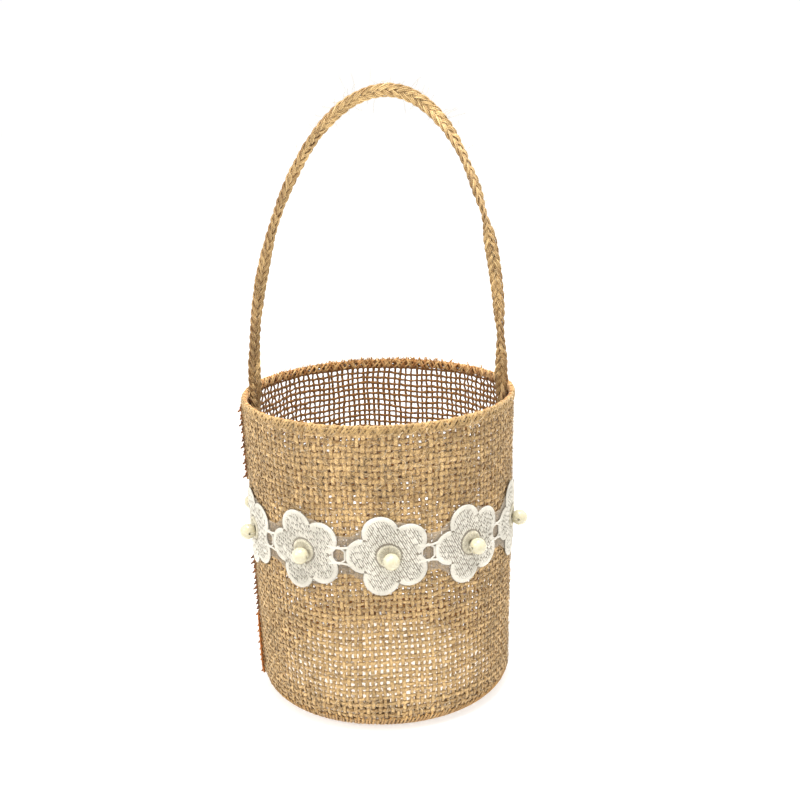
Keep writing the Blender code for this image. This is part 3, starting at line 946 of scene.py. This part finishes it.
def make_link(number, azimuth):
    """The bridge to the next daisy: an oversewn hexagon joined to both."""
    threads = Threads(sides=5, twist=2500)
    corners = np.radians([90, 150, 210, 270, 330, 390, 450])
    t = np.linspace(0, 6, 6 * 60, endpoint=False)
    base = np.floor(t).astype(int)
    share = t - base
    cx, cy = 0.0033 * np.cos(corners), 0.0042 * np.sin(corners)
    x = cx[base] * (1 - share) + cx[base + 1] * share
    y = cy[base] * (1 - share) + cy[base + 1] * share
    scale = 1 + 0.06 * np.cos(t * 8 * TAU)
    lift = 0.00042 + 0.00030 * np.sin(t * 8 * TAU)
    points, normal = lace_point(azimuth, LINK_OFFSET + x * scale, y * scale, lift)
    threads.add(points, normal, 0.00030, 0.00020, 0.8, closed=True)
    points, normal = lace_point(azimuth, LINK_OFFSET + x[::6], y[::6], 0.00042)
    threads.add(points, normal, 0.00034, 0.00028, 0.7, closed=True)
    for side in (-1, 1):
        for strand in (-0.00022, 0.00022):
            u = np.linspace(-0.0048, 0.0048, 16)
            v = side * (0.0042 - 0.0007 * np.cos(u / 0.0048 * math.pi / 2)) + strand
            threads.add(*lace_point(azimuth, LINK_OFFSET + u, v, 0.0006), 0.00033, 0.00026, 0.9)
    piece = threads.build(f"lace_bridge_{number:02d}", LACE)
    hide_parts(f"lace_link_{number:02d}")
    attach(piece, "basket")


def net_half_height(azimuth):
    """The net is cut back between the flowers."""
    pitch = TAU / FLOWERS
    off = np.abs((azimuth - FIRST_FLOWER + pitch / 2) % pitch - pitch / 2) / (pitch / 2)
    return LACE_HALF * (1 - 0.42 * np.clip((off - 0.25) / 0.6, 0, 1) ** 1.3) - 0.0003


def add_net_thread(threads, turn, z, lift, tone):
    points = around(turn, wall_radius(z) + GAP + NET / 2 + lift, z)
    threads.add(points, outward(turn), NET_THREAD_RADIUS, NET_THREAD_RADIUS, tone)


def make_net():
    """The sheer ground of the lace, woven from fine threads."""
    threads = Threads(sides=3)
    count = int(TAU * wall_radius(LACE_HEIGHT) / NET_PITCH)
    for k in range(count):
        azimuth = k / count * TAU
        half = float(net_half_height(np.array(azimuth)))
        z = LACE_HEIGHT + np.linspace(-half, half, 8)
        turn = azimuth + 0 * z + rng.normal(0, 0.0006)
        add_net_thread(threads, turn, z, NET_LIFT, rng.uniform(0, 1))
    azimuth = np.linspace(0, TAU, 721)
    limit = net_half_height(azimuth)
    for up in np.arange(-LACE_HALF + NET_PITCH, LACE_HALF, NET_PITCH):
        tone = rng.uniform(0, 1)
        for first, last in stretches(np.abs(up) < limit):
            if last - first > 2:
                turn = azimuth[first:last]
                add_net_thread(threads, turn, LACE_HEIGHT + up + 0 * turn, -NET_LIFT, tone)
    piece = threads.build("lace_net_ground", NET_THREAD)
    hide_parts("lace_net")
    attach(piece, "basket")


def pearl_axes(azimuth):
    """Centre of a pearl, its bore's direction, the way out of the wall, and the third direction."""
    aside = azimuth + PEARL_ASIDE / wall_radius(LACE_HEIGHT)
    z = LACE_HEIGHT - PEARL_DROOP
    radius = wall_radius(LACE_HEIGHT) + GAP + NET + GAP + PEARL_RADIUS
    centre = around(np.array(aside), radius, z)
    out = outward(np.array(aside))
    bore = np.array([math.cos(aside), math.sin(aside), 0.0])
    return centre, bore, out, np.cross(bore, out)


def drilled_bead(name, centre, bore, out, third):
    """A ball with a hole through it, as one smooth closed surface."""
    limit = math.asin(PEARL_BORE / PEARL_RADIUS)
    lat = np.linspace(limit, math.pi - limit, 40)
    profile = [(PEARL_RADIUS * math.sin(a), -PEARL_RADIUS * math.cos(a)) for a in lat]
    ends = PEARL_RADIUS * math.cos(limit)
    profile += [(PEARL_BORE, ends * k) for k in np.linspace(0.96, -0.96, 7)]
    profile = np.array(profile)
    turns = np.arange(64) / 64 * TAU
    ring = np.cos(turns)[:, None] * out + np.sin(turns)[:, None] * third
    points = centre + ring[:, None] * profile[None, :, :1] + bore * profile[None, :, 1:]
    rows, columns = points.shape[:2]
    faces = []
    for i in range(rows):
        here, ahead = i * columns, (i + 1) % rows * columns
        for j in range(columns):
            beside = (j + 1) % columns
            faces.append((here + j, ahead + j, ahead + beside, here + beside))
    mesh = bpy.data.meshes.new(name)
    mesh.from_pydata(points.reshape(-1, 3).tolist(), [], faces)
    mesh.shade_smooth()
    mesh.set_sharp_from_angle(angle=math.radians(50))
    mesh.materials.append(PEARL)
    return put_in_scene(name, mesh)


def make_pearl(number, azimuth):
    """A drilled bead and its loop of thread, which goes through it and back into the lace."""
    centre, bore, out, third = pearl_axes(azimuth)
    bead = drilled_bead(f"pearl_bead_{number:02d}", centre, bore, out, third)
    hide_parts(f"pearl_{number:02d}")
    threads = Threads(sides=6, twist=6000)
    hug = PEARL_RADIUS + THREAD_FINE
    bend = np.linspace(0, math.radians(68), 14)
    inside = np.linspace(0, -PEARL_RADIUS * 0.9, 8)
    half = [(0.0, a) for a in inside] + [(-hug * math.sin(a), -hug * math.cos(a)) for a in bend]
    route = np.array([(o, -a) for o, a in reversed(half[1:])] + half)
    path = centre + route[:, :1] * out + route[:, 1:] * bore
    threads.add(path, third, THREAD_FINE, THREAD_FINE, 0.7)
    thread = threads.build(f"pearl_thread_loop_{number:02d}", WHITE_THREAD)
    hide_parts(f"pearl_thread_{number:02d}")
    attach(bead, "basket")
    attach(thread, "basket")


def fibre_on_cloth(threads, azimuth, s, low, high, half_width):
    """One short bent fibre lying on the wall, at a depth between low and high off its middle."""
    length, lean = rng.uniform(0.0015, 0.006), rng.uniform(0, TAU)
    t = np.linspace(0, 1, 5)
    bend = lean + rng.normal(0, 1.0) * t
    along = np.cumsum(np.cos(bend)) / 5 * length
    up = np.cumsum(np.sin(bend)) / 5 * length
    lift = rng.uniform(low, high) + 0.0003 * np.sin(t * math.pi)
    level = np.clip(s + up, 0.001, CLOTH_TOP)
    lift = lift + 0.0005 * np.clip((level - CLOTH_TOP + 0.005) / 0.002, 0, 1)
    points, normal = cloth_point(azimuth + along / BASE_RADIUS, level, lift)
    threads.add(points, normal, half_width * rng.uniform(0.5, 1.4), 0.00007, rng.uniform(0, 1))


FRAY_STEPS = np.linspace(0, 1, 6)


def fray_path(azimuth, near, splay):
    """Azimuths and radii of a frayed end, from its root in the rim to its tip."""
    turn = azimuth + rng.normal(0, 0.02) * FRAY_STEPS
    return turn, RIM_CENTRE + rng.normal(0, near) + rng.normal(0, splay) * FRAY_STEPS**2


def add_fray(frays):
    """A fine frayed end. Most of them are behind, where they stand taller too."""
    behind = rng.uniform() < 0.82
    azimuth = math.pi * behind + np.clip(rng.normal(0, 0.45), -0.95, 0.95)
    height = rng.uniform(0.0004, 0.0030 if behind else 0.0009)
    turn, radius = fray_path(azimuth, 0.0007, 0.0010)
    points = around(turn, radius, RIM_HIGH - SELVEDGE + height * FRAY_STEPS)
    width = rng.uniform(0.00010, 0.00032) * (1.15 - FRAY_STEPS)
    frays.add(points, outward(turn), width, 0.00012, rng.uniform(0, 1))


def add_tuft(frays):
    """The thick end of a yarn, which stands up behind."""
    azimuth = math.pi - 0.15 + np.clip(rng.normal(0, 0.40), -0.8, 0.8)
    turn, radius = fray_path(azimuth, 0.0003, 0.0006)
    points = around(turn, radius, RIM_HIGH - SELVEDGE + rng.uniform(0.0016, 0.0030) * FRAY_STEPS)
    frays.add(points, outward(turn), 0.00045 * (1.1 - 0.5 * FRAY_STEPS), 0.0004, rng.uniform(0, 0.7))


def make_fuzz():
    """Loose fibres over the wall, a denser nap in front, and the frayed ends at the rim."""
    fibres, nap, frays = Threads(sides=3), Threads(sides=3), Threads(sides=4)
    for _ in range(WALL_FIBRES):
        azimuth, s = rng.uniform(0, TAU), rng.uniform(0.004, CLOTH_TOP - 0.001)
        fibre_on_cloth(fibres, azimuth, s, CLOTH / 2, CLOTH / 2 + 0.0003, 0.00012)
    for _ in range(NAP_FIBRES):
        azimuth, s = rng.uniform(-1.45, 1.45), CLOTH_TOP * rng.uniform(0.03, 0.99) ** 0.75
        if rng.uniform() > 1.25 * yarn_looseness(azimuth, s):
            fibre_on_cloth(nap, azimuth, s, -0.0003, CLOTH / 2, 0.00021)
    for _ in range(FRAYS):
        add_fray(frays)
    for _ in range(TUFTS):
        add_tuft(frays)
    piece = fibres.build("loose_fibres", FUZZ)
    nap_piece = nap.build("nap_in_front", JUTE)
    tufts = frays.build("rim_frayed_ends", FRAY)
    for part in (piece, nap_piece, tufts):
        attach(part, "basket")


# ---------------------------------------------------------------- stage


FLOOR_HALF, FLOOR_DROP = 8, 0.0003
FLOOR_GLOW, WORLD_LIGHT = 0.62, 1.02
LIT_POINT = np.array([0, 0, 0.1])
CAMERA_PLACE, CAMERA_PITCH, CAMERA_ROLL = (0.0104, -0.560, 0.290), 0.258, 0.028
CAMERA_LENS, CAMERA_SENSOR = 54.09, 36


def make_floor():
    """A pale floor that glows a little, so that the shadow on it stays faint."""
    made, _, shader = principled("studio_floor")
    set_inputs(shader, Base_Color=(0.55, 0.548, 0.542, 1), Roughness=0.9)
    set_inputs(shader, Emission_Color=(1.0, 0.995, 0.98, 1), Emission_Strength=FLOOR_GLOW)
    mesh = bpy.data.meshes.new("studio_floor")
    ways = ((-1, -1), (1, -1), (1, 1), (-1, 1))
    corners = [(x * FLOOR_HALF, y * FLOOR_HALF, -FLOOR_DROP) for x, y in ways]
    mesh.from_pydata(corners, [], [(0, 1, 2, 3)])
    mesh.materials.append(made)
    floor = put_in_scene("studio_floor", mesh)


def make_world():
    """Even white light from all round."""
    world = bpy.data.worlds.new("studio")
    bpy.context.scene.world = world
    world.use_nodes = True
    background = world.node_tree.nodes["Background"]
    background.inputs["Color"].default_value = (1.0, 0.998, 0.99, 1)
    background.inputs["Strength"].default_value = WORLD_LIGHT


def make_lamp(name, place, size, power):
    """A square lamp that looks at the basket."""
    lamp = bpy.data.lights.new(name, "AREA")
    lamp.energy, lamp.size = power, size
    light = put_in_scene(name, lamp)
    light.location = place
    aim = LIT_POINT - np.array(place)
    tilt = math.acos(-aim[2] / np.linalg.norm(aim))
    light.rotation_euler = (tilt, 0, math.atan2(aim[0], -aim[1]) + math.pi)


def make_camera():
    """The camera, in front and a little above, tipped down and rolled slightly."""
    camera = bpy.data.cameras.new("camera")
    camera.lens, camera.sensor_width = CAMERA_LENS, CAMERA_SENSOR
    camera.clip_start = 0.01
    holder = put_in_scene("camera", camera)
    holder.matrix_world = (
        Matrix.Translation(CAMERA_PLACE)
        @ Matrix.Rotation(math.pi / 2 - CAMERA_PITCH, 4, "X")
        @ Matrix.Rotation(-CAMERA_ROLL, 4, "Z")
    )
    bpy.context.scene.camera = holder
    bpy.context.scene.view_settings.view_transform = "Standard"


make_floor()
make_world()
make_lamp("key", (-1.1, -0.7, 1.0), size=0.5, power=6.5)
make_lamp("top", (0.02, -0.12, 1.30), size=0.22, power=21.0)
make_camera()
make_base_disc()
make_wall()
make_allowance()
make_rim()
make_base_overlock()
make_side_seam()
make_handle()
make_tacks()
make_net()
for index in range(FLOWERS):
    turn = FIRST_FLOWER + index * TAU / FLOWERS
    make_flower(index + 1, turn)
    make_eyelet(turn, index + 1)
    make_link(index + 1, turn)
    make_pearl(index + 1, turn)
make_fuzz()
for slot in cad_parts["base_stiffener"].material_slots:
    slot.material = CARD
